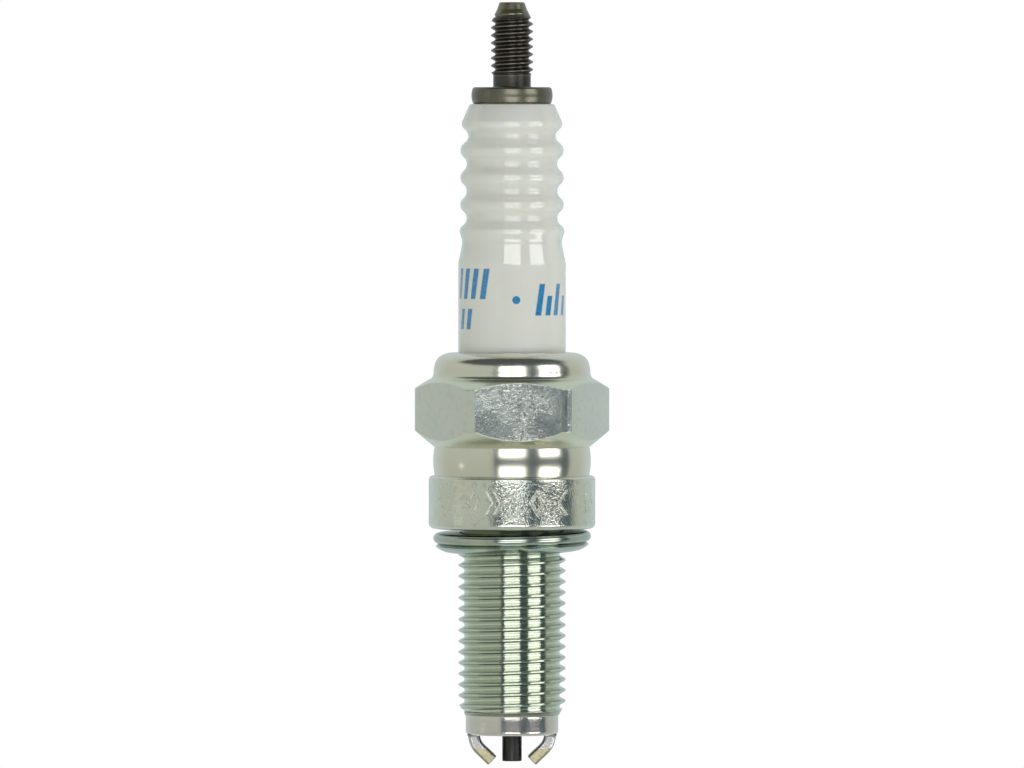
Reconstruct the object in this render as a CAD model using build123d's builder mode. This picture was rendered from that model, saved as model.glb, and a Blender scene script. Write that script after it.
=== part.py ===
from build123d import *
import math
import os

os.makedirs("parts", exist_ok=True)

# Spark plug with a 10 mm thread, 16 mm hexagon, threaded terminal stud,
# resistor and two side electrodes.
# Frame: the plug stands on its axis, +Z towards the terminal, the origin on
# the axis at the underside of the shell flange. The side electrodes lie on
# the -X and +X sides. All lengths are in millimetres.

# ---------------------------------------------------------------- dimensions
# mounting thread, M10 x 1
thread_pitch = 1.0
thread_crest_r = 4.94
thread_root_r = 4.39
thread_top_z = -1.75
thread_end_z = -16.15      # the lead-in chamfer starts here
neck_r = 4.65              # relief under the flange, where the gasket hangs
pilot_r = 4.27
shell_end_z = -19.0
pilot_corner_r = 0.36

# shell body
flange_r = 7.68
flange_top_z = 4.9
hex_af = 16.0
hex_turned_r = 8.96
hex_turn_deg = 4.4
hex_low_z = 9.05
hex_high_z = 12.93
cavity_r = 6.10            # bore around the insulator collar
bore_r = 3.60              # bore through the threaded length
ledge_r = 2.80             # inner edge of the seat ledge
ledge_z = -9.30
mouth_r = 3.10
lip_bore_r = 5.08

# insulator
barrel_r = 4.96
barrel_top_z = 24.45
barrel_low_z = 16.10       # the barrel steps down inside the crimped lip
stem_r = 4.80              # insulator inside the packing
insulator_top_z = 39.16
collar_r = 5.95
collar_top_z = 11.50
mid_body_r = 3.45
nose_end_z = -17.90
ins_bore_r = 1.75          # bore for stud, seals and resistor
nose_bore_r = 0.95         # bore for the centre electrode
seat_deg = 30.0            # slope of the inner seat

# packing
packing_wire_r = 0.55
packing_mid_r = (stem_r + cavity_r) / 2
lower_ring_z = collar_top_z + packing_wire_r
upper_ring_z = 14.80

# terminal stud, M4 x 0.7
stud_pitch = 0.70
stud_crest_r = 1.94
stud_root_r = 1.55
stud_neck_r = 1.735
stud_top_z = 48.50
disc_r = 3.745
disc_top_z = 40.68
shank_r = 1.45
shank_end_z = 6.40

# inner stack
seal_low_z = -6.60         # top of the lower glass seal
seal_high_z = 5.40         # bottom of the upper glass seal
seal_top_z = 9.40
center_r = 0.90
center_tip_z = -21.45
core_r = 0.50

# gasket, folded from sheet
sheet_t = 0.32
gasket_r = 7.27
gasket_lip_r = 4.86
gasket_top_z = -0.30
gasket_tilt_x_deg = 1.50   # the -Y side hangs lower
gasket_tilt_y_deg = 0.85   # the +X side sits higher

# side electrodes
side_t = 1.10
side_w = 2.20
side_edge_r = 0.30
side_root_r = 3.50         # radius of the wire centreline at the shell end
side_bend_r = 1.83
side_bend_deg = 46.0
side_tip_len = 1.56

seat_slope = math.tan(math.radians(seat_deg))


def seat_z(r, lift=0.0):
    """Height of the inner seat cone at radius r, lifted by lift."""
    return ledge_z + (r - ledge_r) * seat_slope + lift


# ---------------------------------------------------------------- metal shell
# V groove of the mounting thread: right hand, one turn per pitch, made in two
# stretches. The upper one runs out on a cone before it reaches the neck.
groove_turn_deg = 200.0
groove_low_z = -20.39 + groove_turn_deg / 360.0 * thread_pitch
groove_high_z = groove_low_z + 15 * thread_pitch
root_round_r = 0.19
vee_out_x = 0.63
vee_out_z = 0.866 * root_round_r + (vee_out_x - 0.5 * root_round_r) * 0.5774
with BuildPart() as shell_groove_low:
    with BuildLine() as low_helix:
        Helix(pitch=thread_pitch, height=15 * thread_pitch, radius=thread_root_r,
              center=(0, 0, groove_low_z))
    with BuildSketch(Plane(origin=(thread_root_r, 0, groove_low_z), x_dir=(1, 0, 0),
                           z_dir=(0, -1, 0))) as low_vee:
        with BuildLine():
            ThreePointArc((0.5 * root_round_r, -0.866 * root_round_r), (0, 0),
                          (0.5 * root_round_r, 0.866 * root_round_r))
            Polyline((0.5 * root_round_r, 0.866 * root_round_r), (vee_out_x, vee_out_z),
                     (vee_out_x, -vee_out_z), (0.5 * root_round_r, -0.866 * root_round_r))
        make_face()
    sweep(sections=low_vee.sketch, path=low_helix.wires()[0], is_frenet=True)

with BuildPart() as shell_groove_high:
    with BuildLine() as high_helix:
        Helix(pitch=thread_pitch, height=4.3 * thread_pitch, radius=thread_root_r,
              center=(0, 0, groove_high_z))
    with BuildSketch(Plane(origin=(thread_root_r, 0, groove_high_z), x_dir=(1, 0, 0),
                           z_dir=(0, -1, 0))) as high_vee:
        with BuildLine():
            ThreePointArc((0.5 * root_round_r, -0.866 * root_round_r), (0, 0),
                          (0.5 * root_round_r, 0.866 * root_round_r))
            Polyline((0.5 * root_round_r, 0.866 * root_round_r), (vee_out_x, vee_out_z),
                     (vee_out_x, -vee_out_z), (0.5 * root_round_r, -0.866 * root_round_r))
        make_face()
    sweep(sections=high_vee.sketch, path=high_helix.wires()[0], is_frenet=True)
    with BuildSketch(Plane.XZ) as shell_runout:
        with BuildLine():
            Polyline((0, -2.6), (4.30, -2.42), (5.6, -1.12), (5.6, 1.0), (0, 1.0),
                     close=True)
        make_face()
    revolve(axis=Axis.Z, mode=Mode.SUBTRACT)

# Plain stamped marks around the flange: diamonds, chevrons, slanted strokes and
# dots. Each is drawn flat on a plane touching the flange and sunk inwards.
mark_z = 2.55
mark_face_r = flange_r + 0.05
mark_sink = 0.17
mark_shapes = {
    "diamond": [[(0, 1.15), (-0.70, 0), (0, -1.15), (0.70, 0)]],
    "diamond_hole": [[(0, 0.76), (-0.46, 0), (0, -0.76), (0.46, 0)]],
    "chevrons": [[(-0.75, 1.1), (-0.50, 1.1), (0.12, 0), (-0.50, -1.1), (-0.75, -1.1),
                  (-0.13, 0)],
                 [(-0.05, 1.1), (0.20, 1.1), (0.82, 0), (0.20, -1.1), (-0.05, -1.1),
                  (0.57, 0)]],
    "strokes": [[(-0.15, 1.1), (0.07, 1.1), (-0.43, -1.1), (-0.65, -1.1)],
                [(0.50, 1.1), (0.72, 1.1), (0.22, -1.1), (0.0, -1.1)]],
    "arrow": [[(0.75, 1.15), (0.46, 1.15), (-0.52, 0), (0.46, -1.15), (0.75, -1.15),
               (-0.22, 0)]],
}
flange_mark_list = [(-27.0, "diamond"), (-12.5, "chevrons"), (2.8, "strokes"),
                    (17.5, "diamond"), (36.0, "arrow")]
with BuildPart() as flange_marks:
    for mark_deg, mark_kind in flange_mark_list:
        mark_a = math.radians(mark_deg)
        with BuildSketch(Plane(origin=(mark_face_r * math.sin(mark_a),
                                       -mark_face_r * math.cos(mark_a), mark_z),
                               x_dir=(math.cos(mark_a), math.sin(mark_a), 0),
                               z_dir=(math.sin(mark_a), -math.cos(mark_a), 0))):
            for mark_points in mark_shapes[mark_kind]:
                with BuildLine():
                    Polyline(*mark_points, close=True)
                make_face()
            if mark_kind == "diamond":
                for mark_points in mark_shapes["diamond_hole"]:
                    with BuildLine():
                        Polyline(*mark_points, close=True)
                    make_face(mode=Mode.SUBTRACT)
        extrude(amount=-mark_sink)
    # two columns of dots on the right shoulder of the flange
    for dot_deg in (61.5, 72.0):
        dot_a = math.radians(dot_deg)
        with BuildSketch(Plane(origin=(mark_face_r * math.sin(dot_a),
                                       -mark_face_r * math.cos(dot_a), mark_z),
                               x_dir=(math.cos(dot_a), math.sin(dot_a), 0),
                               z_dir=(math.sin(dot_a), -math.cos(dot_a), 0))):
            with Locations((0, 0.70), (0, 0.0), (0, -0.70)):
                Circle(0.15)
        extrude(amount=-mark_sink)

with BuildPart() as metal_shell:
    with BuildSketch(Plane.XZ) as shell_section:
        with BuildLine():
            # end face, thread blank and neck
            Polyline((mouth_r + 0.15, shell_end_z), (thread_crest_r, shell_end_z),
                     (thread_crest_r, thread_top_z - 0.28),
                     (neck_r, thread_top_z), (neck_r, 0), (flange_r - 0.5, 0))
            # flange
            ThreePointArc((flange_r - 0.5, 0),
                          (flange_r - 0.5 + 0.5 * math.sin(math.pi / 4),
                           0.5 - 0.5 * math.cos(math.pi / 4)), (flange_r, 0.5))
            Line((flange_r, 0.5), (flange_r, flange_top_z - 0.42))
            ThreePointArc((flange_r, flange_top_z - 0.42),
                          (flange_r - 0.42 + 0.42 * math.sin(math.pi / 4),
                           flange_top_z - 0.42 + 0.42 * math.cos(math.pi / 4)),
                          (flange_r - 0.42, flange_top_z))
            # hot-pressed groove: a thin wall bulged slightly outwards
            Line((flange_r - 0.42, flange_top_z), (7.13, flange_top_z))
            ThreePointArc((7.13, flange_top_z), (7.27, 6.2), (7.15, 7.52))
            # hexagon blank with turned, slightly crowned chamfers
            Line((7.15, 7.52), (7.42, 7.74))
            Spline((7.42, 7.74), (8.203, 8.380), (hex_turned_r, hex_low_z))
            Line((hex_turned_r, hex_low_z), (hex_turned_r, hex_high_z))
            Spline((hex_turned_r, hex_high_z), (8.210, 13.412), (7.44, 13.86))
            Spline([(7.44, 13.86), (7.29, 14.06), (7.235, 14.30)],
                   tangents=[(-0.85, 0.52), (0, 1)])
            # crimped lip rolled over the insulator shoulder
            Spline([(7.235, 14.30), (7.20, 14.82), (7.05, 15.36), (6.71, 15.83),
                    (6.17, 16.11), (5.50, 16.22)], tangents=[(0, 1), (-1, 0.04)])
            ThreePointArc((5.50, 16.22), (5.20, 16.10), (lip_bore_r, 15.80))
            Polyline((lip_bore_r, 15.80), (lip_bore_r, 15.46), (packing_mid_r, 15.43))
            ThreePointArc((packing_mid_r, 15.43), (5.92, 15.25), (cavity_r, upper_ring_z))
            # cavity, bore, seat ledge and lower chamber
            Polyline((cavity_r, upper_ring_z), (cavity_r, 5.90), (bore_r, 3.90),
                     (bore_r, seat_z(bore_r)), (ledge_r, seat_z(ledge_r)),
                     (ledge_r, -10.10), (mouth_r, -10.40), (mouth_r, shell_end_z + 0.15),
                     (mouth_r + 0.15, shell_end_z))
        make_face()
    revolve(axis=Axis.Z)
    # six flats
    with BuildSketch(Plane.XY.offset(7.30)) as hex_ring:
        Circle(10.5)
        RegularPolygon(radius=hex_af / 2, side_count=6, major_radius=False,
                       rotation=hex_turn_deg, mode=Mode.SUBTRACT)
    extrude(amount=13.98 - 7.30, mode=Mode.SUBTRACT)
    # stamped marks
    add(flange_marks.part, mode=Mode.SUBTRACT)
    # mounting thread
    add(shell_groove_low.part, rotation=(0, 0, groove_turn_deg), mode=Mode.SUBTRACT)
    add(shell_groove_high.part, rotation=(0, 0, groove_turn_deg), mode=Mode.SUBTRACT)
    # lead-in chamfer, pilot and its rounded end corner
    with BuildSketch(Plane.XZ) as pilot_ring:
        with BuildLine():
            Polyline((pilot_r - pilot_corner_r, shell_end_z - 0.6),
                     (pilot_r - pilot_corner_r, shell_end_z))
            ThreePointArc((pilot_r - pilot_corner_r, shell_end_z),
                          (pilot_r - pilot_corner_r * (1 - math.sin(math.pi / 4)),
                           shell_end_z + pilot_corner_r * (1 - math.cos(math.pi / 4))),
                          (pilot_r, shell_end_z + pilot_corner_r))
            Polyline((pilot_r, shell_end_z + pilot_corner_r), (pilot_r, thread_end_z - 1.13),
                     (thread_crest_r, thread_end_z),
                     (thread_crest_r + 0.66, thread_end_z + 1.113),
                     (thread_crest_r + 0.66, shell_end_z - 0.6),
                     (pilot_r - pilot_corner_r, shell_end_z - 0.6))
        make_face()
    revolve(axis=Axis.Z, mode=Mode.SUBTRACT)
metal_shell.part.label = "metal_shell"
export_step(metal_shell.part, "parts/metal_shell.step")

# ---------------------------------------------------------------- insulator
# Ribs: a 45 degree zigzag with generous rounds at the crests and in the
# grooves, on a 2.5 mm pitch.
rib_apex_r = 5.112
rib_valley_r = 3.838
with BuildPart() as insulator:
    with BuildSketch(Plane.XZ) as insulator_section:
        with BuildLine():
            outer = FilletPolyline(
                (barrel_r, 20.0), (barrel_r, barrel_top_z), (4.560, 26.42),
                (4.912, 27.58), (rib_valley_r, 28.60), (rib_apex_r, 29.84),
                (rib_valley_r, 31.11), (rib_apex_r, 32.33), (rib_valley_r, 33.61),
                (rib_apex_r, 34.86), (3.730, 36.16), (4.757, 37.18),
                (3.925, 39.07), (3.66, insulator_top_z), (2.6, insulator_top_z),
                radius=[1.6, 1.2, 0.62, 0.80, 0.81, 0.80, 0.81, 0.80, 0.81,
                        0.69, 0.62, 0.16, 0.08])
            Polyline((2.6, insulator_top_z), (ins_bore_r + 0.15, insulator_top_z),
                     (ins_bore_r, insulator_top_z - 0.15), (ins_bore_r, -10.40),
                     (nose_bore_r, -11.00), (nose_bore_r, nose_end_z),
                     (1.55, nose_end_z))
            ThreePointArc((1.55, nose_end_z), (1.83, nose_end_z + 0.12),
                          (1.96, nose_end_z + 0.42))
            seat_lift = 0.35 / math.cos(math.radians(seat_deg))
            Polyline((1.96, nose_end_z + 0.42), (2.60, seat_z(2.60, seat_lift)),
                     (mid_body_r, seat_z(mid_body_r, seat_lift)), (mid_body_r, 4.60),
                     (collar_r - 0.2, 6.44), (collar_r, 6.75),
                     (collar_r, collar_top_z - 0.3), (collar_r - 0.3, collar_top_z),
                     (stem_r, collar_top_z), (stem_r, barrel_low_z - 0.16),
                     (barrel_r, barrel_low_z), (barrel_r, 20.0))
        make_face()
    revolve(axis=Axis.Z)
insulator.part.label = "insulator"
export_step(insulator.part, "parts/insulator.step")

# ---------------------------------------------------------------- terminal stud
stud_turn_deg = 200.0
stud_groove_z = 41.25 + stud_turn_deg / 360.0 * stud_pitch - stud_pitch
stud_round_r = 0.12
stud_vee_z = 0.866 * stud_round_r + (0.46 - 0.5 * stud_round_r) * 0.5774
with BuildPart() as stud_groove:
    with BuildLine() as stud_helix:
        Helix(pitch=stud_pitch, height=13 * stud_pitch, radius=stud_root_r,
              center=(0, 0, stud_groove_z))
    with BuildSketch(Plane(origin=(stud_root_r, 0, stud_groove_z), x_dir=(1, 0, 0),
                           z_dir=(0, -1, 0))) as stud_vee:
        with BuildLine():
            ThreePointArc((0.5 * stud_round_r, -0.866 * stud_round_r), (0, 0),
                          (0.5 * stud_round_r, 0.866 * stud_round_r))
            Polyline((0.5 * stud_round_r, 0.866 * stud_round_r), (0.46, stud_vee_z),
                     (0.46, -stud_vee_z), (0.5 * stud_round_r, -0.866 * stud_round_r))
        make_face()
    sweep(sections=stud_vee.sketch, path=stud_helix.wires()[0], is_frenet=True)
    with BuildSketch(Plane.XZ) as stud_runout:
        with BuildLine():
            Polyline((0, 40.0), (2.4, 40.0), (2.4, 41.45), (1.50, 42.10), (0, 42.2),
                     close=True)
        make_face()
    revolve(axis=Axis.Z, mode=Mode.SUBTRACT)

with BuildPart() as terminal_stud:
    with BuildSketch(Plane.XZ) as stud_section:
        with BuildLine():
            Polyline((0, stud_top_z), (stud_crest_r, stud_top_z), (stud_crest_r, 42.05),
                     (stud_neck_r, 41.78), (stud_neck_r, disc_top_z + 0.12))
            RadiusArc((stud_neck_r, disc_top_z + 0.12),
                      (stud_neck_r + 0.12, disc_top_z), -0.12)
            Line((stud_neck_r + 0.12, disc_top_z), (3.42, disc_top_z))
            # disc with a rolled, slightly barrelled rim
            ThreePointArc((3.42, disc_top_z), (3.59, 40.60), (3.67, 40.42))
            ThreePointArc((3.67, 40.42), (disc_r, 39.92), (3.66, 39.37))
            ThreePointArc((3.66, 39.37), (3.59, 39.22), (3.44, insulator_top_z))
            # shank in the insulator bore with three grip rings in the seal
            Polyline((3.44, insulator_top_z), (shank_r, insulator_top_z),
                     (shank_r, 9.00), (1.25, 8.85), (1.25, 8.45), (1.60, 8.30),
                     (1.60, 8.00), (1.25, 7.85), (1.25, 7.45), (1.60, 7.30),
                     (1.60, 7.00), (1.25, 6.85), (1.25, 6.55), (1.10, shank_end_z),
                     (0, shank_end_z), (0, stud_top_z))
        make_face()
    revolve(axis=Axis.Z)
    add(stud_groove.part, rotation=(0, 0, stud_turn_deg), mode=Mode.SUBTRACT)
    # tapered end
    with BuildSketch(Plane.XZ) as stud_point:
        with BuildLine():
            Polyline((1.08, stud_top_z + 0.5), (1.08, stud_top_z),
                     (1.18, stud_top_z - 0.09), (1.37, 47.86), (1.62, 47.35),
                     (1.87, 46.80), (stud_crest_r, 46.38), (2.6, 45.9),
                     (2.6, stud_top_z + 0.5), close=True)
        make_face()
    revolve(axis=Axis.Z, mode=Mode.SUBTRACT)
terminal_stud.part.label = "terminal_stud"
export_step(terminal_stud.part, "parts/terminal_stud.step")

# ---------------------------------------------------------------- glass seals
with BuildPart() as upper_glass_seal:
    with BuildSketch(Plane.XZ):
        with BuildLine():
            Polyline((0, seal_high_z), (ins_bore_r, seal_high_z), (ins_bore_r, seal_top_z),
                     (shank_r, seal_top_z), (shank_r, 9.00), (1.25, 8.85), (1.25, 8.45),
                     (1.60, 8.30), (1.60, 8.00), (1.25, 7.85), (1.25, 7.45), (1.60, 7.30),
                     (1.60, 7.00), (1.25, 6.85), (1.25, 6.55), (1.10, shank_end_z),
                     (0, shank_end_z), close=True)
        make_face()
    revolve(axis=Axis.Z)
upper_glass_seal.part.label = "upper_glass_seal"
export_step(upper_glass_seal.part, "parts/upper_glass_seal.step")

with BuildPart() as resistor:
    with BuildSketch(Plane.XY.offset(seal_low_z)):
        Circle(ins_bore_r)
    extrude(amount=seal_high_z - seal_low_z)
resistor.part.label = "resistor"
export_step(resistor.part, "parts/resistor.step")

# The centre electrode hangs by its head on the cone at the foot of the bore.
head_low_z = -11.00 + (1.55 - nose_bore_r) * 0.75
with BuildPart() as lower_glass_seal:
    with BuildSketch(Plane.XZ):
        with BuildLine():
            Polyline((1.55, head_low_z), (ins_bore_r, -10.40), (ins_bore_r, seal_low_z),
                     (0, seal_low_z), (0, -9.20), (0.80, -9.20), (0.80, -9.90),
                     (1.55, -9.90), close=True)
        make_face()
    revolve(axis=Axis.Z)
lower_glass_seal.part.label = "lower_glass_seal"
export_step(lower_glass_seal.part, "parts/lower_glass_seal.step")

# ---------------------------------------------------------------- centre electrode
with BuildPart() as center_electrode:
    with BuildSketch(Plane.XZ):
        with BuildLine():
            Polyline((0, center_tip_z), (center_r - 0.05, center_tip_z),
                     (center_r, center_tip_z + 0.05), (center_r, -11.0375),
                     (1.55, head_low_z), (1.55, -9.90), (0.80, -9.90), (0.80, -9.20),
                     (core_r, -9.20), (core_r, -19.30), (0.25, -19.60), (0, -19.66),
                     close=True)
        make_face()
    revolve(axis=Axis.Z)
center_electrode.part.label = "center_electrode"
export_step(center_electrode.part, "parts/center_electrode.step")

with BuildPart() as center_electrode_core:
    with BuildSketch(Plane.XZ):
        with BuildLine():
            Polyline((0, -19.66), (0.25, -19.60), (core_r, -19.30), (core_r, -9.20),
                     (0, -9.20), close=True)
        make_face()
    revolve(axis=Axis.Z)
center_electrode_core.part.label = "center_electrode_core"
export_step(center_electrode_core.part, "parts/center_electrode_core.step")

# ---------------------------------------------------------------- packing in the shell
with BuildPart() as lower_packing_ring:
    with BuildSketch(Plane.XZ):
        with Locations((packing_mid_r, lower_ring_z)):
            Circle(packing_wire_r)
    revolve(axis=Axis.Z)
lower_packing_ring.part.label = "lower_packing_ring"
export_step(lower_packing_ring.part, "parts/lower_packing_ring.step")

with BuildPart() as upper_packing_ring:
    with BuildSketch(Plane.XZ):
        with Locations((packing_mid_r, upper_ring_z)):
            Circle(packing_wire_r)
    revolve(axis=Axis.Z)
upper_packing_ring.part.label = "upper_packing_ring"
export_step(upper_packing_ring.part, "parts/upper_packing_ring.step")

with BuildPart() as talc_packing:
    with BuildSketch(Plane.XZ):
        with Locations((packing_mid_r, (lower_ring_z + upper_ring_z) / 2)):
            Rectangle(cavity_r - stem_r, upper_ring_z - lower_ring_z)
        with Locations((packing_mid_r, lower_ring_z), (packing_mid_r, upper_ring_z)):
            Circle(packing_wire_r, mode=Mode.SUBTRACT)
    revolve(axis=Axis.Z)
talc_packing.part.label = "talc_packing"
export_step(talc_packing.part, "parts/talc_packing.step")

# Thin conical washer between the insulator shoulder and the seat ledge.
with BuildPart() as inner_seat_washer:
    with BuildSketch(Plane.XZ):
        with BuildLine():
            nx = -0.35 * math.sin(math.radians(seat_deg))
            nz = 0.35 * math.cos(math.radians(seat_deg))
            Polyline((2.88, seat_z(2.88)), (3.50, seat_z(3.50)),
                     (3.50 + nx, seat_z(3.50) + nz), (2.88 + nx, seat_z(2.88) + nz),
                     close=True)
        make_face()
    revolve(axis=Axis.Z)
inner_seat_washer.part.label = "inner_seat_washer"
export_step(inner_seat_washer.part, "parts/inner_seat_washer.step")

# ---------------------------------------------------------------- gasket
# Crush ring folded from sheet into an S: a top leaf with the captive lip, an
# outer fold, a middle leaf, an inner fold and a curved bottom leaf. It hangs
# loose on the neck, slightly tilted.
tilt_a = math.tan(math.radians(gasket_tilt_y_deg))
tilt_b = math.tan(math.radians(gasket_tilt_x_deg))
gasket_axis = Vector(-tilt_a, -tilt_b, 1).normalized()
gasket_radial = Vector(1, 0, tilt_a).normalized()
gasket_origin = Vector(0, 0, gasket_top_z)
gasket_plane = Plane(origin=gasket_origin, x_dir=gasket_radial,
                     z_dir=gasket_radial.cross(gasket_axis))
fold_o = 0.48
fold_i = fold_o - sheet_t
fold_mid_r = gasket_r - fold_o
hook_o = 0.58
hook_i = hook_o - sheet_t
hook_mid_r = 5.70
hook_mid_z = -2 * fold_o + sheet_t - hook_o
leaf_o = 1.90
leaf_i = leaf_o - sheet_t
leaf_mid_z = hook_mid_z - hook_o + leaf_o
leaf_end = math.radians(46.0)
with BuildPart() as gasket:
    with BuildSketch(gasket_plane) as gasket_section:
        with BuildLine():
            Line((gasket_lip_r, 0), (fold_mid_r, 0))
            ThreePointArc((fold_mid_r, 0), (gasket_r, -fold_o), (fold_mid_r, -2 * fold_o))
            Line((fold_mid_r, -2 * fold_o), (hook_mid_r, -2 * fold_o))
            ThreePointArc((hook_mid_r, hook_mid_z + hook_i), (hook_mid_r - hook_i, hook_mid_z),
                          (hook_mid_r, hook_mid_z - hook_i))
            ThreePointArc((hook_mid_r, hook_mid_z - hook_i),
                          (hook_mid_r + leaf_i * math.sin(leaf_end / 2),
                           leaf_mid_z - leaf_i * math.cos(leaf_end / 2)),
                          (hook_mid_r + leaf_i * math.sin(leaf_end),
                           leaf_mid_z - leaf_i * math.cos(leaf_end)))
            Line((hook_mid_r + leaf_i * math.sin(leaf_end),
                  leaf_mid_z - leaf_i * math.cos(leaf_end)),
                 (hook_mid_r + leaf_o * math.sin(leaf_end),
                  leaf_mid_z - leaf_o * math.cos(leaf_end)))
            ThreePointArc((hook_mid_r + leaf_o * math.sin(leaf_end),
                           leaf_mid_z - leaf_o * math.cos(leaf_end)),
                          (hook_mid_r + leaf_o * math.sin(leaf_end / 2),
                           leaf_mid_z - leaf_o * math.cos(leaf_end / 2)),
                          (hook_mid_r, hook_mid_z - hook_o))
            ThreePointArc((hook_mid_r, hook_mid_z - hook_o), (hook_mid_r - hook_o, hook_mid_z),
                          (hook_mid_r, hook_mid_z + hook_o))
            Line((hook_mid_r, hook_mid_z + hook_o), (fold_mid_r, -fold_o - fold_i))
            ThreePointArc((fold_mid_r, -fold_o - fold_i), (fold_mid_r + fold_i, -fold_o),
                          (fold_mid_r, -sheet_t))
            Line((fold_mid_r, -sheet_t), (gasket_lip_r, -sheet_t))
            Line((gasket_lip_r, -sheet_t), (gasket_lip_r, 0))
        make_face()
        fillet(gasket_section.vertices().sort_by_distance(
            gasket_plane.to_local_coords(gasket_origin)).sort_by(Axis.X)[0:2], 0.1)
        fillet(gasket_section.vertices().filter_by(
            lambda v: math.hypot(v.X - hook_mid_r, v.Y - leaf_mid_z) > leaf_i - 0.01
            and v.X > hook_mid_r + 0.8 and v.Y < hook_mid_z), 0.13)
    revolve(axis=Axis(gasket_origin, gasket_axis))
gasket.part.label = "gasket"
export_step(gasket.part, "parts/gasket.step")

# ---------------------------------------------------------------- side electrodes
# Flat nickel wire welded to the shell end, bent down and inwards so that its
# tip faces the side of the centre electrode.
bend = math.radians(side_bend_deg)
bend_end_x = side_root_r - side_bend_r * (1 - math.cos(bend))
bend_end_z = shell_end_z - side_bend_r * math.sin(bend)
bend_half_x = side_root_r - side_bend_r * (1 - math.cos(bend / 2))
bend_half_z = shell_end_z - side_bend_r * math.sin(bend / 2)
tip_x = bend_end_x - side_tip_len * math.sin(bend)
tip_z = bend_end_z - side_tip_len * math.cos(bend)

with BuildPart() as ground_electrode_right:
    with BuildLine() as right_path:
        ThreePointArc((side_root_r, 0, shell_end_z), (bend_half_x, 0, bend_half_z),
                      (bend_end_x, 0, bend_end_z))
        Line((bend_end_x, 0, bend_end_z), (tip_x, 0, tip_z))
    with BuildSketch(Plane(origin=(side_root_r, 0, shell_end_z), x_dir=(1, 0, 0),
                           z_dir=(0, 0, -1))) as right_wire:
        RectangleRounded(side_t, side_w, side_edge_r)
    sweep(sections=right_wire.sketch, path=right_path.wires()[0])
    fillet(ground_electrode_right.faces().sort_by(Axis.X)[0].edges(), 0.10)
    # weld upset at the root
    with BuildSketch(Plane(origin=(side_root_r + 0.02, 0, shell_end_z), x_dir=(1, 0, 0),
                           z_dir=(0, 0, -1))):
        RectangleRounded(side_t + 0.16, side_w + 0.34, 0.40)
    extrude(amount=0.16, taper=32)
ground_electrode_right.part.label = "ground_electrode_right"
export_step(ground_electrode_right.part, "parts/ground_electrode_right.step")

with BuildPart() as ground_electrode_left:
    with BuildLine() as left_path:
        ThreePointArc((-side_root_r, 0, shell_end_z), (-bend_half_x, 0, bend_half_z),
                      (-bend_end_x, 0, bend_end_z))
        Line((-bend_end_x, 0, bend_end_z), (-tip_x, 0, tip_z))
    with BuildSketch(Plane(origin=(-side_root_r, 0, shell_end_z), x_dir=(1, 0, 0),
                           z_dir=(0, 0, -1))) as left_wire:
        RectangleRounded(side_t, side_w, side_edge_r)
    sweep(sections=left_wire.sketch, path=left_path.wires()[0])
    fillet(ground_electrode_left.faces().sort_by(Axis.X)[-1].edges(), 0.10)
    with BuildSketch(Plane(origin=(-side_root_r - 0.02, 0, shell_end_z), x_dir=(1, 0, 0),
                           z_dir=(0, 0, -1))):
        RectangleRounded(side_t + 0.16, side_w + 0.34, 0.40)
    extrude(amount=0.16, taper=32)
ground_electrode_left.part.label = "ground_electrode_left"
export_step(ground_electrode_left.part, "parts/ground_electrode_left.step")
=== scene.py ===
import math

import bpy
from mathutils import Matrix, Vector


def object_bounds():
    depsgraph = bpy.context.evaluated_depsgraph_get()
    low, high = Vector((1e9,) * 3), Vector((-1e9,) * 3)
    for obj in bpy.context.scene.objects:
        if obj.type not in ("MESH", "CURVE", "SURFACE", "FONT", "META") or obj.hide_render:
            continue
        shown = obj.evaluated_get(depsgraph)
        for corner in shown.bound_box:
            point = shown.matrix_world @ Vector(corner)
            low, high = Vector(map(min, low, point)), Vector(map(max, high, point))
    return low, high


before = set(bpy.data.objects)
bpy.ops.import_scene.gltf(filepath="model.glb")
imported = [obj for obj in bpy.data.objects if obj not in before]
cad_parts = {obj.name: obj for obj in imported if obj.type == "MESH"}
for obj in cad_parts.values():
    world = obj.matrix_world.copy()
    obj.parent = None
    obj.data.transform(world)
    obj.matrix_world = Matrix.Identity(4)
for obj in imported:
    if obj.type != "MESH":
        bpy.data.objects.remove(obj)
cad_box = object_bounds()

MM = 0.001


def lin(r, g, b):
    """sRGB 0-255 to linear RGBA."""
    out = []
    for c in (r, g, b):
        c = c / 255.0
        out.append(c / 12.92 if c <= 0.04045 else ((c + 0.055) / 1.055) ** 2.4)
    return (out[0], out[1], out[2], 1.0)


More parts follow.
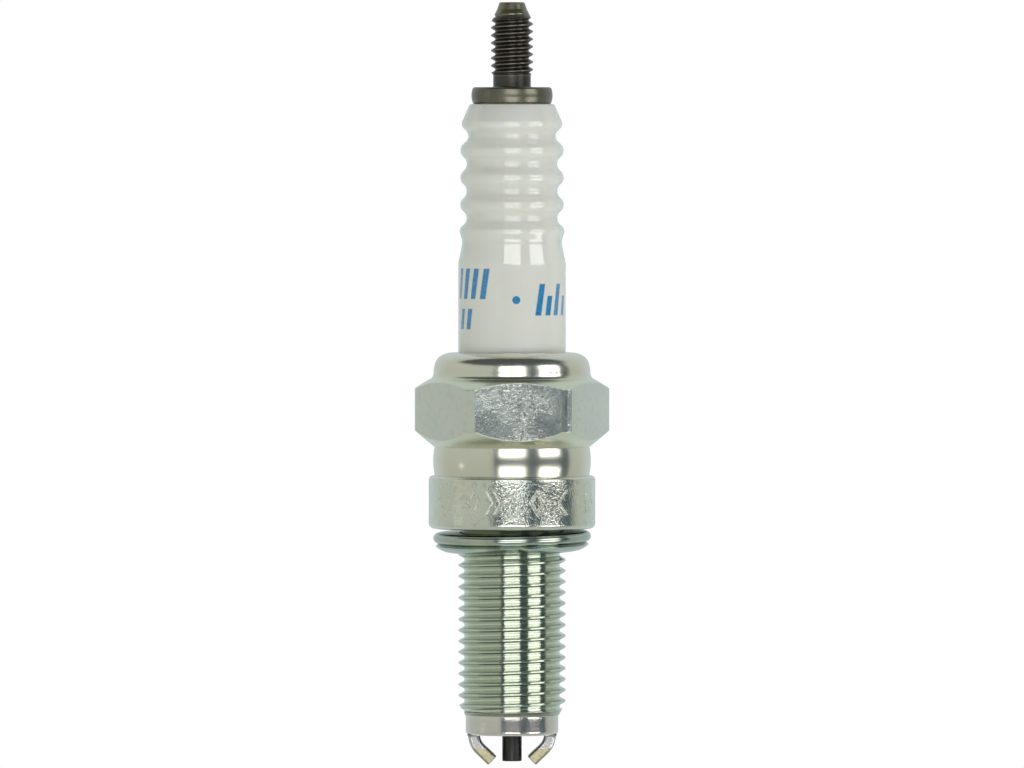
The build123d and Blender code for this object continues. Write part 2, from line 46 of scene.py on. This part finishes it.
# ------------------------------------------------------------------ node helpers
class Mat:
    """A small wrapper that builds a node material."""

    def __init__(self, name):
        self.m = bpy.data.materials.new(name)
        self.m.use_nodes = True
        self.t = self.m.node_tree
        self.t.nodes.clear()
        self.out = self.t.nodes.new("ShaderNodeOutputMaterial")
        self.bsdf = self.t.nodes.new("ShaderNodeBsdfPrincipled")
        self.t.links.new(self.bsdf.outputs[0], self.out.inputs["Surface"])
        self.co = self.t.nodes.new("ShaderNodeTexCoord").outputs["Object"]
        s = self.t.nodes.new("ShaderNodeSeparateXYZ")
        self.link(self.co, s.inputs[0])
        self.x, self.y, self.z = s.outputs[0], s.outputs[1], s.outputs[2]

    def link(self, a, b):
        self.t.links.new(a, b)

    def put(self, value, socket):
        if isinstance(value, (int, float)):
            socket.default_value = value
        elif isinstance(value, tuple):
            socket.default_value = value
        else:
            self.link(value, socket)

    def math(self, op, a, b=0.0, c=0.0, clamp=False):
        n = self.t.nodes.new("ShaderNodeMath")
        n.operation = op
        n.use_clamp = clamp
        self.put(a, n.inputs[0])
        self.put(b, n.inputs[1])
        self.put(c, n.inputs[2])
        return n.outputs[0]

    def ramp(self, v, lo, hi, a=0.0, b=1.0, smooth=True):
        n = self.t.nodes.new("ShaderNodeMapRange")
        n.interpolation_type = "SMOOTHSTEP" if smooth else "LINEAR"
        n.clamp = True
        self.put(v, n.inputs["Value"])
        n.inputs["From Min"].default_value = lo
        n.inputs["From Max"].default_value = hi
        n.inputs["To Min"].default_value = a
        n.inputs["To Max"].default_value = b
        return n.outputs[0]

    def band(self, v, lo, hi, soft):
        """1 between lo and hi, falling to 0 over soft."""
        return self.math("MULTIPLY", self.ramp(v, lo - soft, lo + soft),
                         self.ramp(v, hi - soft, hi + soft, 1.0, 0.0))

    def coords(self, sx, sy, sz):
        n = self.t.nodes.new("ShaderNodeVectorMath")
        n.operation = "MULTIPLY"
        self.link(self.co, n.inputs[0])
        n.inputs[1].default_value = (sx, sy, sz)
        return n.outputs[0]

    def noise(self, scale, detail=3.0, rough=0.55, vec=None, distortion=0.0):
        n = self.t.nodes.new("ShaderNodeTexNoise")
        n.inputs["Scale"].default_value = scale
        n.inputs["Detail"].default_value = detail
        n.inputs["Roughness"].default_value = rough
        n.inputs["Distortion"].default_value = distortion
        self.link(vec if vec is not None else self.co, n.inputs["Vector"])
        return n.outputs["Fac"]

    def voronoi(self, scale, vec=None, feature="F1", rand=1.0):
        n = self.t.nodes.new("ShaderNodeTexVoronoi")
        n.feature = feature
        n.inputs["Scale"].default_value = scale
        n.inputs["Randomness"].default_value = rand
        self.link(vec if vec is not None else self.co, n.inputs["Vector"])
        return n.outputs["Distance"]

    def mix(self, f, a, b):
        n = self.t.nodes.new("ShaderNodeMix")
        n.data_type = "RGBA"
        self.put(f, n.inputs["Factor"])
        self.put(a, n.inputs[6])
        self.put(b, n.inputs[7])
        return n.outputs[2]

    def bump(self, height, strength, distance, normal=None):
        n = self.t.nodes.new("ShaderNodeBump")
        n.inputs["Strength"].default_value = strength
        n.inputs["Distance"].default_value = distance
        self.link(height, n.inputs["Height"])
        if normal is not None:
            self.link(normal, n.inputs["Normal"])
        return n.outputs[0]

    def bevel(self, radius, samples=6):
        n = self.t.nodes.new("ShaderNodeBevel")
        n.samples = samples
        n.inputs["Radius"].default_value = radius
        return n.outputs[0]

    def set(self, name, value):
        self.put(value, self.bsdf.inputs[name])


# ------------------------------------------------------------------ materials
def plated_shell():
    """Semi-bright zinc plating over turned and cold-formed steel."""
    k = Mat("plated_shell")
    z = k.z
    r = r2_of(k)
    geo = k.t.nodes.new("ShaderNodeNewGeometry")
    sn = k.t.nodes.new("ShaderNodeSeparateXYZ")
    k.link(geo.outputs["True Normal"], sn.inputs[0])
    nz = k.math("ABSOLUTE", sn.outputs[2])
    upright = k.ramp(nz, 0.22, 0.30, 1.0, 0.0)
    # where each finish lies
    hexa = k.math("MULTIPLY", k.math("MULTIPLY", k.band(z, 0.00792, 0.01390, 0.00002),
                                     k.ramp(r, 0.00755, 0.00765)), upright)
    flange = k.band(z, 0.0003, 0.0046, 0.0001)
    grainy = k.math("MAXIMUM", k.math("MULTIPLY", hexa, 0.57), k.math("MULTIPLY", flange, 0.92))
    grainy = k.math("MAXIMUM", grainy, k.ramp(z, -0.0168, -0.0174, 0.0, 0.45))
    thread = k.math("MULTIPLY", k.ramp(z, -0.0012, -0.0018), k.ramp(z, -0.0172, -0.0168))
    # crystalline grain of the plating on the cold-formed faces
    grain_a = k.noise(4400.0, 2.0, 0.6)
    grain_b = k.noise(7800.0, 1.0, 0.5)
    cells = k.voronoi(4300.0)
    # fine rings left by turning
    rings = k.noise(1.0, 3.0, 0.6, vec=k.coords(120.0, 120.0, 26000.0))
    soft = k.noise(420.0, 2.0, 0.5)
    base = k.mix(k.ramp(soft, 0.35, 0.68), lin(228, 229, 220), lin(220, 226, 219))
    base = k.mix(k.math("MULTIPLY", k.ramp(k.noise(240.0, 2.0, 0.5), 0.45, 0.75), 0.35),
                 base, lin(230, 226, 206))
    # thin-film tint of the passivation
    base = k.mix(k.math("MULTIPLY", thread, 0.9), base, lin(215, 222, 208))
    groove = k.math("MAXIMUM", k.band(z, 0.0050, 0.0075, 0.0001), k.ramp(z, 0.0141, 0.0144))
    base = k.mix(k.math("MULTIPLY", groove, 0.6), base, lin(234, 229, 212))
    chamfer = k.math("SUBTRACT", k.band(z, 0.0076, 0.0140, 0.0001), hexa, clamp=True)
    base = k.mix(k.math("MULTIPLY", chamfer, 0.5), base, lin(226, 226, 196))
    # painted shade: the rolled crests are darkened along both edges, where they would reflect the
    # dark surroundings
    az = k.math("MULTIPLY", k.math("ARCTAN2", k.x, k.math("MULTIPLY", k.y, -1.0)),
                180.0 / math.pi)
    phase = k.math("SUBTRACT", k.math("ADD", k.math("MULTIPLY", z, 1000.0), 2.64),
                   k.math("MULTIPLY", az, 1.0 / 360.0))
    phase = k.math("ABSOLUTE", k.math("SUBTRACT", k.math("FRACT", phase), 0.5))
    edge = k.math("MULTIPLY", k.band(phase, 0.085, 0.225, 0.02), thread)
    base = k.mix(k.math("MULTIPLY", edge, 0.42), base, lin(120, 130, 126))
    base = k.mix(k.math("MULTIPLY", hexa, 0.35), base, lin(226, 232, 232))
    # faint water marks and rubbing on the flats and the flange
    mottle = k.ramp(k.noise(1500.0, 3.0, 0.6), 0.50, 0.72)
    base = k.mix(k.math("MULTIPLY", mottle, k.math("MULTIPLY", grainy, 0.45)),
                 base, lin(196, 199, 192))
    base = k.mix(k.math("MULTIPLY", k.ramp(z, -0.0170, -0.0178), 0.55), base, lin(226, 214, 214))
    speck = k.math("MULTIPLY", k.ramp(grain_a, 0.54, 0.68), grainy)
    base = k.mix(k.math("MULTIPLY", speck, 0.35), base, lin(240, 242, 236))
    dark = k.math("MULTIPLY", k.ramp(cells, 0.22, 0.08), grainy)
    base = k.mix(k.math("MULTIPLY", dark, 0.22), base, lin(150, 158, 160))
    # handling marks: thin pale and dark scuffs
    scuff = k.ramp(k.noise(1.0, 4.0, 0.7, vec=k.coords(900.0, 900.0, 3200.0)), 0.65, 0.73)
    base = k.mix(k.math("MULTIPLY", scuff, 0.15), base, lin(160, 164, 158))
    # painted shade: dark colour in the crevice under the crimped lip and in the gasket's neck,
    # where shade falls
    crevice_painted_shade = k.math("MULTIPLY", k.band(z, 0.0155, 0.0163, 0.00012), k.ramp(r, 0.0054, 0.0051))
    base = k.mix(k.math("MULTIPLY", crevice_painted_shade, 0.7), base, lin(60, 60, 50))
    # painted shade in the neck between the flange and the gasket
    neck = k.math("MULTIPLY", k.band(z, -0.0017, 0.00006, 0.00003), k.ramp(r, 0.0071, 0.0068))
    base = k.mix(k.math("MULTIPLY", neck, 0.85), base, lin(72, 84, 44))
    k.set("Base Color", base)
    k.set("Metallic", 1.0)
    rough = k.math("ADD", 0.17, k.math("MULTIPLY", soft, 0.08))
    rough = k.math("ADD", rough, k.math("MULTIPLY", groove, -0.02))
    rough = k.math("ADD", rough, k.math("MULTIPLY", grainy, -0.07))
    rough = k.math("ADD", rough, k.math("MULTIPLY", thread, -0.10))
    rough = k.math("ADD", rough, k.math("MULTIPLY", scuff, 0.06))
    k.set("Roughness", rough)
    h = k.math("MULTIPLY", k.math("ADD", grain_a, k.math("MULTIPLY", grain_b, 0.30)), grainy)
    h = k.math("MULTIPLY", h, k.ramp(k.noise(330.0, 2.0, 0.5), 0.36, 0.64, 0.65, 1.25))
    # shading only, with no change of shape: crowned flats, a barrelled flange and a pilot
    # rounded over towards the thread. The thread's lean isn't a shape of the real plug:
    # it tips the reflection in the vees up to the windows
    rel = k.math("SUBTRACT", k.math("FLOORED_MODULO", k.math("ADD", az, 25.6 + 360.0), 60.0), 30.0)
    u = k.math("MULTIPLY", r, k.math("SINE", k.math("MULTIPLY", rel, math.pi / 180.0)))
    uu = k.math("MULTIPLY", u, u)
    crown = k.math("MULTIPLY", k.math("ADD", k.math("MULTIPLY", uu, -6.0),
                                      k.math("MULTIPLY", k.math("MULTIPLY", uu, uu), -1.0e5)),
                   hexa)
    barrel = k.math("MULTIPLY", k.math("SUBTRACT", k.math("MULTIPLY", z, 0.020),
                                       k.math("MULTIPLY", k.math("MULTIPLY", z, z), 8.0)),
                    flange)
    v = k.math("ADD", z, 0.019)
    pilot = k.ramp(z, -0.0169, -0.0172)
    over = k.math("MULTIPLY", k.math("MULTIPLY", k.math("POWER", v, 5.0), -2.46e9), pilot)
    lean = k.math("MULTIPLY", k.math("MULTIPLY", z, -0.10), thread)
    shape = k.math("ADD", k.math("ADD", crown, barrel), k.math("ADD", over, lean))
    blend = k.t.nodes.new("ShaderNodeMix")
    blend.data_type = "VECTOR"
    k.link(thread, blend.inputs["Factor"])
    k.link(k.bevel(0.00012), blend.inputs[4])
    k.link(k.bevel(0.00026, 10), blend.inputs[5])
    n0 = blend.outputs[1]
    n0 = k.bump(shape, 1.0, 1.0, n0)
    n1 = k.bump(h, 0.50, 0.00006, n0)
    n2 = k.bump(rings, 0.05, 0.00001, n1)
    n3 = k.bump(k.noise(2400.0, 1.5, 0.5), 0.05, 0.00003, n2)
    k.set("Normal", n3)
    return k.m


def glazed_insulator():
    """White alumina under a clear gloss glaze, with a plain blue printed pattern."""
    k = Mat("glazed_insulator")
    z = k.z
    az = k.math("MULTIPLY", k.math("ARCTAN2", k.x, k.math("MULTIPLY", k.y, -1.0)),
                180.0 / math.pi)
    r = 4.96
    # arc length along the barrel from the front line, in metres
    u = k.math("MULTIPLY", az, r * MM * math.pi / 180.0)
    body = k.mix(k.ramp(k.noise(160.0, 2.0, 0.5), 0.3, 0.7),
                 lin(241, 241, 237), lin(238, 238, 233))
    # marks: slanted bars and one dot, on the smooth barrel
    lean = k.math("ADD", u, k.math("MULTIPLY", z, -0.16))

    def bar(c, w, z0, z1):
        c = c - 0.16 * (z0 + z1) / 2 * 1.0
        return k.math("MULTIPLY", k.band(lean, (c - w / 2) * MM, (c + w / 2) * MM, 0.00005),
                      k.band(z, z0 * MM, z1 * MM, 0.00005))

    marks = None
    for c, w, z0, z1 in BARS:
        b = bar(c, w, z0, z1)
        marks = b if marks is None else k.math("MAXIMUM", marks, b)
    du = k.math("SUBTRACT", u, 0.40 * MM)
    dz = k.math("SUBTRACT", z, 21.12 * MM)
    dot = k.ramp(k.math("SQRT", k.math("ADD", k.math("MULTIPLY", du, du),
                                       k.math("MULTIPLY", dz, dz))),
                 0.00034, 0.00040, 1.0, 0.0)
    marks = k.math("MAXIMUM", marks, dot)
    marks = k.math("MULTIPLY", marks, k.ramp(r2_of(k), 0.0047, 0.0049))
    ink = k.mix(k.ramp(k.noise(5200.0, 3.0, 0.6), 0.35, 0.7), lin(42, 136, 198), lin(78, 158, 210))
    thin = k.ramp(k.noise(3000.0, 3.0, 0.6), 0.22, 0.36, 0.55, 1.0)
    k.set("Base Color", k.mix(k.math("MULTIPLY", marks, thin), body, ink))
    k.set("Roughness", k.math("ADD", 0.02, k.math("MULTIPLY", k.noise(700.0, 2.0, 0.5), 0.03)))
    k.bsdf.inputs["Specular IOR Level"].default_value = 0.5
    k.bsdf.inputs["IOR"].default_value = 1.60
    k.bsdf.inputs["Coat Weight"].default_value = 1.0
    k.bsdf.inputs["Coat Roughness"].default_value = 0.015
    k.bsdf.inputs["Subsurface Weight"].default_value = 0.6
    k.bsdf.inputs["Subsurface Radius"].default_value = (0.0013, 0.0012, 0.0010)
    k.bsdf.inputs["Subsurface Scale"].default_value = 1.0
    n1 = k.bump(k.noise(420.0, 1.0, 0.5), 0.03, 0.00004)
    n2 = k.bump(k.math("MULTIPLY", marks, 1.0), 0.15, 0.00001, n1)
    k.set("Normal", n2)
    return k.m


def r2_of(k):
    return k.math("SQRT", k.math("ADD", k.math("MULTIPLY", k.x, k.x),
                                 k.math("MULTIPLY", k.y, k.y)))


# centre (mm along the barrel from the front line), width, low z, high z
BARS = [
    (-6.10, 0.62, 21.2, 24.0),
    (-4.95, 0.62, 21.2, 24.0),
    (-3.80, 0.62, 21.2, 24.0),
    (-2.65, 0.62, 21.2, 24.0),
    (-5.70, 0.62, 18.4, 20.3),
    (-4.55, 0.62, 18.4, 20.3),
    (2.75, 0.62, 19.7, 22.6),
    (3.75, 0.62, 19.7, 21.5),
    (4.90, 0.62, 19.7, 22.6),
    (6.05, 0.62, 19.7, 21.5),
]


def oxidised_stud():
    """Terminal stud: steel with a dark brown-grey oxide, paler on worn crests."""
    k = Mat("oxidised_stud")
    r = r2_of(k)
    blot = k.noise(900.0, 2.0, 0.5)
    fine = k.noise(6000.0, 2.0, 0.5)
    base = k.mix(k.ramp(blot, 0.35, 0.66), lin(116, 114, 103), lin(130, 127, 115))
    base = k.mix(k.math("MULTIPLY", k.ramp(fine, 0.58, 0.75), 0.25), base, lin(150, 146, 136))
    # darker oxide in the thread, rubbed paler on its crests and at the tip
    thread = k.band(k.z, 0.0419, 0.0471, 0.0002)
    base = k.mix(k.math("MULTIPLY", thread, 0.70), base, lin(76, 71, 69))
    wear = k.math("MULTIPLY", thread, k.ramp(r, 0.00189, 0.00193))
    base = k.mix(k.math("MULTIPLY", wear, 0.45), base, lin(156, 150, 142))
    tip = k.ramp(k.z, 0.0470, 0.0476)
    base = k.mix(k.math("MULTIPLY", tip, 0.7), base, lin(146, 143, 122))
    neck = k.band(k.z, 0.04072, 0.04172, 0.00008)
    base = k.mix(k.math("MULTIPLY", neck, 0.7), base, lin(60, 57, 60))
    k.set("Base Color", base)
    k.set("Metallic", 1.0)
    k.set("Roughness", k.math("ADD", 0.26, k.math("MULTIPLY", blot, 0.12)))
    n0 = k.bevel(0.00007)
    n1 = k.bump(fine, 0.10, 0.00002, n0)
    n2 = k.bump(k.noise(1.0, 2.0, 0.5, vec=k.coords(400.0, 400.0, 24000.0)), 0.08, 0.00001, n1)
    k.set("Normal", n2)
    return k.m


def plated_gasket():
    """Folded sheet steel with a pale green passivated plating."""
    k = Mat("plated_gasket")
    soft = k.noise(600.0, 3.0, 0.5)
    base = k.mix(k.ramp(soft, 0.35, 0.7), lin(186, 195, 184), lin(176, 189, 184))
    base = k.mix(k.math("MULTIPLY", k.ramp(k.noise(330.0, 2.0, 0.5), 0.5, 0.75), 0.5),
                 base, lin(220, 218, 192))
    k.set("Base Color", base)
    k.set("Metallic", 1.0)
    k.set("Roughness", k.math("ADD", 0.13, k.math("MULTIPLY", soft, 0.10)))
    n1 = k.bump(k.noise(2400.0, 2.0, 0.5), 0.08, 0.00003)
    n2 = k.bump(k.noise(1.0, 2.0, 0.5, vec=k.coords(90.0, 90.0, 14000.0)), 0.10, 0.00001, n1)
    k.set("Normal", n2)
    return k.m


def nickel_wire():
    """Side electrodes: plated near the weld, bare nickel alloy towards the tip."""
    k = Mat("nickel_wire")
    n = k.noise(2600.0, 3.0, 0.6)
    edge = k.math("ADD", k.z, k.math("MULTIPLY", k.math("SUBTRACT", n, 0.5), 0.0003))
    bare = k.ramp(edge, -0.02018, -0.02034)
    plated = k.mix(k.ramp(n, 0.35, 0.7), lin(224, 221, 224), lin(202, 200, 206))
    nickel = k.mix(k.ramp(k.noise(5200.0, 3.0, 0.6), 0.35, 0.7), lin(196, 188, 160),
                   lin(172, 166, 142))
    base = k.mix(bare, plated, nickel)
    heat = k.ramp(k.z, -0.01935, -0.01900)
    base = k.mix(k.math("MULTIPLY", heat, 0.6), base, lin(120, 118, 116))
    k.set("Base Color", base)
    k.set("Metallic", 1.0)
    k.set("Roughness", k.math("ADD", k.ramp(edge, -0.02018, -0.02034, 0.22, 0.36),
                              k.math("MULTIPLY", n, 0.06)))
    n0 = k.bevel(0.00006)
    n1 = k.bump(k.noise(9000.0, 3.0, 0.6), 0.28, 0.00002, n0)
    k.set("Normal", n1)
    return k.m


def dark_center():
    """Centre electrode: drawn nickel alloy, darkened, with faint lengthwise marks."""
    k = Mat("dark_center")
    streak = k.noise(1.0, 3.0, 0.6, vec=k.coords(9000.0, 9000.0, 260.0))
    base = k.mix(k.ramp(streak, 0.35, 0.7), lin(62, 61, 62), lin(80, 78, 77))
    k.set("Base Color", base)
    k.set("Metallic", 1.0)
    k.set("Roughness", k.math("ADD", 0.32, k.math("MULTIPLY", streak, 0.14)))
    n0 = k.bevel(0.00004)
    k.set("Normal", k.bump(streak, 0.30, 0.00001, n0))
    return k.m


def plain_metal(name, a, b, rough):
    k = Mat(name)
    n = k.noise(2500.0, 3.0, 0.6)
    k.set("Base Color", k.mix(k.ramp(n, 0.35, 0.7), a, b))
    k.set("Metallic", 1.0)
    k.set("Roughness", k.math("ADD", rough, k.math("MULTIPLY", n, 0.1)))
    k.set("Normal", k.bump(n, 0.2, 0.00003))
    return k.m


def plain_mineral(name, a, b, rough):
    k = Mat(name)
    n = k.noise(3200.0, 4.0, 0.65)
    k.set("Base Color", k.mix(k.ramp(n, 0.35, 0.7), a, b))
    k.set("Roughness", k.math("ADD", rough, k.math("MULTIPLY", n, 0.1)))
    k.set("Normal", k.bump(n, 0.4, 0.00004))
    return k.m


glass = plain_mineral("sealing_glass", lin(70, 66, 62), lin(110, 84, 66), 0.35)
ring_steel = plain_metal("bare_ring_steel", lin(170, 168, 162), lin(146, 142, 134), 0.35)
nickel = nickel_wire()
NODE_MATERIALS = {
    "metal_shell": plated_shell(),
    "insulator": glazed_insulator(),
    "terminal_stud": oxidised_stud(),
    "gasket": plated_gasket(),
    "ground_electrode_left": nickel,
    "ground_electrode_right": nickel,
    "center_electrode": dark_center(),
    "center_electrode_core": plain_metal("core_copper", lin(214, 140, 104),
                                         lin(190, 116, 84), 0.3),
    "upper_glass_seal": glass,
    "lower_glass_seal": glass,
    "resistor": plain_mineral("resistor_mass", lin(52, 50, 48), lin(74, 72, 68), 0.6),
    "talc_packing": plain_mineral("pressed_talc", lin(226, 222, 208), lin(206, 202, 188), 0.8),
    "upper_packing_ring": ring_steel,
    "lower_packing_ring": ring_steel,
    "inner_seat_washer": ring_steel,
}
for node, material in NODE_MATERIALS.items():
    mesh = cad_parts[node].data
    mesh.materials.clear()
    mesh.materials.append(material)

# ------------------------------------------------------------------ studio
scene = bpy.context.scene
scene.view_settings.view_transform = "Standard"
scene.view_settings.look = "None"
scene.view_settings.exposure = 0.0
scene.view_settings.gamma = 1.0

world = bpy.data.worlds.new("studio")
scene.world = world
world.use_nodes = True
wt = world.node_tree
wt.nodes.clear()


def wnode(kind):
    return wt.nodes.new(kind)


def wmath(op, a, b=0.0):
    n = wnode("ShaderNodeMath")
    n.operation = op
    for i, v in enumerate((a, b)):
        if isinstance(v, (int, float)):
            n.inputs[i].default_value = v
        else:
            wt.links.new(v, n.inputs[i])
    return n.outputs[0]


def wband(v, lo, hi, soft):
    a = wnode("ShaderNodeMapRange")
    a.interpolation_type = "SMOOTHSTEP"
    wt.links.new(v, a.inputs["Value"])
    a.inputs["From Min"].default_value = lo - soft
    a.inputs["From Max"].default_value = lo + soft
    b = wnode("ShaderNodeMapRange")
    b.interpolation_type = "SMOOTHSTEP"
    wt.links.new(v, b.inputs["Value"])
    b.inputs["From Min"].default_value = hi - soft
    b.inputs["From Max"].default_value = hi + soft
    b.inputs["To Min"].default_value = 1.0
    b.inputs["To Max"].default_value = 0.0
    return wmath("MULTIPLY", a.outputs[0], b.outputs[0])


def wmix(f, a, b):
    n = wnode("ShaderNodeMix")
    n.data_type = "RGBA"
    if isinstance(f, (int, float)):
        n.inputs["Factor"].default_value = f
    else:
        wt.links.new(f, n.inputs["Factor"])
    for i, v in ((6, a), (7, b)):
        if isinstance(v, tuple):
            n.inputs[i].default_value = v
        else:
            wt.links.new(v, n.inputs[i])
    return n.outputs[2]


sky = wnode("ShaderNodeTexCoord").outputs["Generated"]
ws = wnode("ShaderNodeSeparateXYZ")
wt.links.new(sky, ws.inputs[0])
dx, dy, dz = ws.outputs[0], ws.outputs[1], ws.outputs[2]
w_az = wmath("MULTIPLY", wmath("ARCTAN2", dx, wmath("MULTIPLY", dy, -1.0)), 180 / math.pi)
w_el = wmath("MULTIPLY", wmath("ARCSINE", dz), 180 / math.pi)
# pale tent, a dark opening to the right of the camera with two columns of windows in
# it, a dark ceiling over the camera side and one small lamp on the left
tent_lo = (0.48, 0.51, 0.45, 1.0)
tent_hi = (0.55, 0.58, 0.53, 1.0)
side = (0.585, 0.66, 0.67, 1.0)
tent = wmix(wband(w_el, 5.0, 120.0, 25.0), tent_lo, tent_hi)
back = wmath("SUBTRACT", 1.0, wband(w_az, -130.0, 130.0, 25.0))
tent = wmix(back, tent, side)
ceiling = wmath("MULTIPLY", wband(w_el, 32.0, 200.0, 3.0), wband(dy, -9.0, 0.15, 0.10))
tent = wmix(ceiling, tent, (0.08, 0.09, 0.085, 1.0))
opening = wmath("MULTIPLY", wband(w_az, -27.0, 93.0, 2.0), wband(w_el, -42.0, 46.0, 5.0))
env = wmix(opening, tent, (0.076, 0.106, 0.124, 1.0))
cols = wmath("MAXIMUM", wband(w_az, -18.5, 19.5, 1.0), wband(w_az, 42.0, 75.0, 1.0))
rows = wmath("MAXIMUM", wband(w_el, 7.0, 29.0, 1.2), wband(w_el, -30.0, -8.5, 1.2))
panes = wmath("MULTIPLY", cols, rows)
env = wmix(panes, env, (2.8, 2.78, 2.65, 1.0))
lamp = wmath("MULTIPLY", wband(w_az, -82.5, -77.5, 1.0), wband(w_el, -7.6, -4.4, 0.6))
env = wmix(lamp, env, (1.7, 1.7, 1.6, 1.0))
path = wnode("ShaderNodeLightPath")
seen = wmix(path.outputs["Is Camera Ray"], env, (1.0, 1.0, 1.0, 1.0))
bg = wnode("ShaderNodeBackground")
wt.links.new(seen, bg.inputs["Color"])
bg.inputs["Strength"].default_value = 1.0
wo = wnode("ShaderNodeOutputWorld")
wt.links.new(bg.outputs[0], wo.inputs["Surface"])

# floor: a pale sheet just under the electrodes
low = cad_box[0][2]
bpy.ops.mesh.primitive_plane_add(size=1.6, location=(0, 0, low - 0.0006))
floor = bpy.context.object
floor.name = "floor"
fm = bpy.data.materials.new("pale_floor")
fm.use_nodes = True
ft = fm.node_tree
ft.nodes.clear()
fo = ft.nodes.new("ShaderNodeOutputMaterial")
em = ft.nodes.new("ShaderNodeEmission")
em.inputs["Color"].default_value = (1.0, 1.0, 1.0, 1.0)
clear = ft.nodes.new("ShaderNodeBsdfTransparent")
lp = ft.nodes.new("ShaderNodeLightPath")
fmix = ft.nodes.new("ShaderNodeMixShader")
# the sheet hides nothing when the plug is seen from below
under = ft.nodes.new("ShaderNodeNewGeometry")
above = ft.nodes.new("ShaderNodeMath")
above.operation = "SUBTRACT"
above.use_clamp = True
ft.links.new(lp.outputs["Is Camera Ray"], above.inputs[0])
ft.links.new(under.outputs["Backfacing"], above.inputs[1])
ft.links.new(above.outputs[0], fmix.inputs[0])
ft.links.new(clear.outputs[0], fmix.inputs[1])
ft.links.new(em.outputs[0], fmix.inputs[2])
ft.links.new(fmix.outputs[0], fo.inputs["Surface"])
floor.data.materials.append(fm)

# ------------------------------------------------------------------ camera
cam_data = bpy.data.cameras.new("camera")
cam = bpy.data.objects.new("camera", cam_data)
scene.collection.objects.link(cam)
scene.camera = cam
cam_data.sensor_width = 36.0
cam_data.lens = 472.9
cam_data.clip_start = 0.05
cam_data.clip_end = 20.0
target = Vector((0.0, 0.0, 0.01332))
cam.location = (0.0, -1.2397, 0.0386)
cam.rotation_euler = (target - cam.location).to_track_quat("-Z", "Y").to_euler()
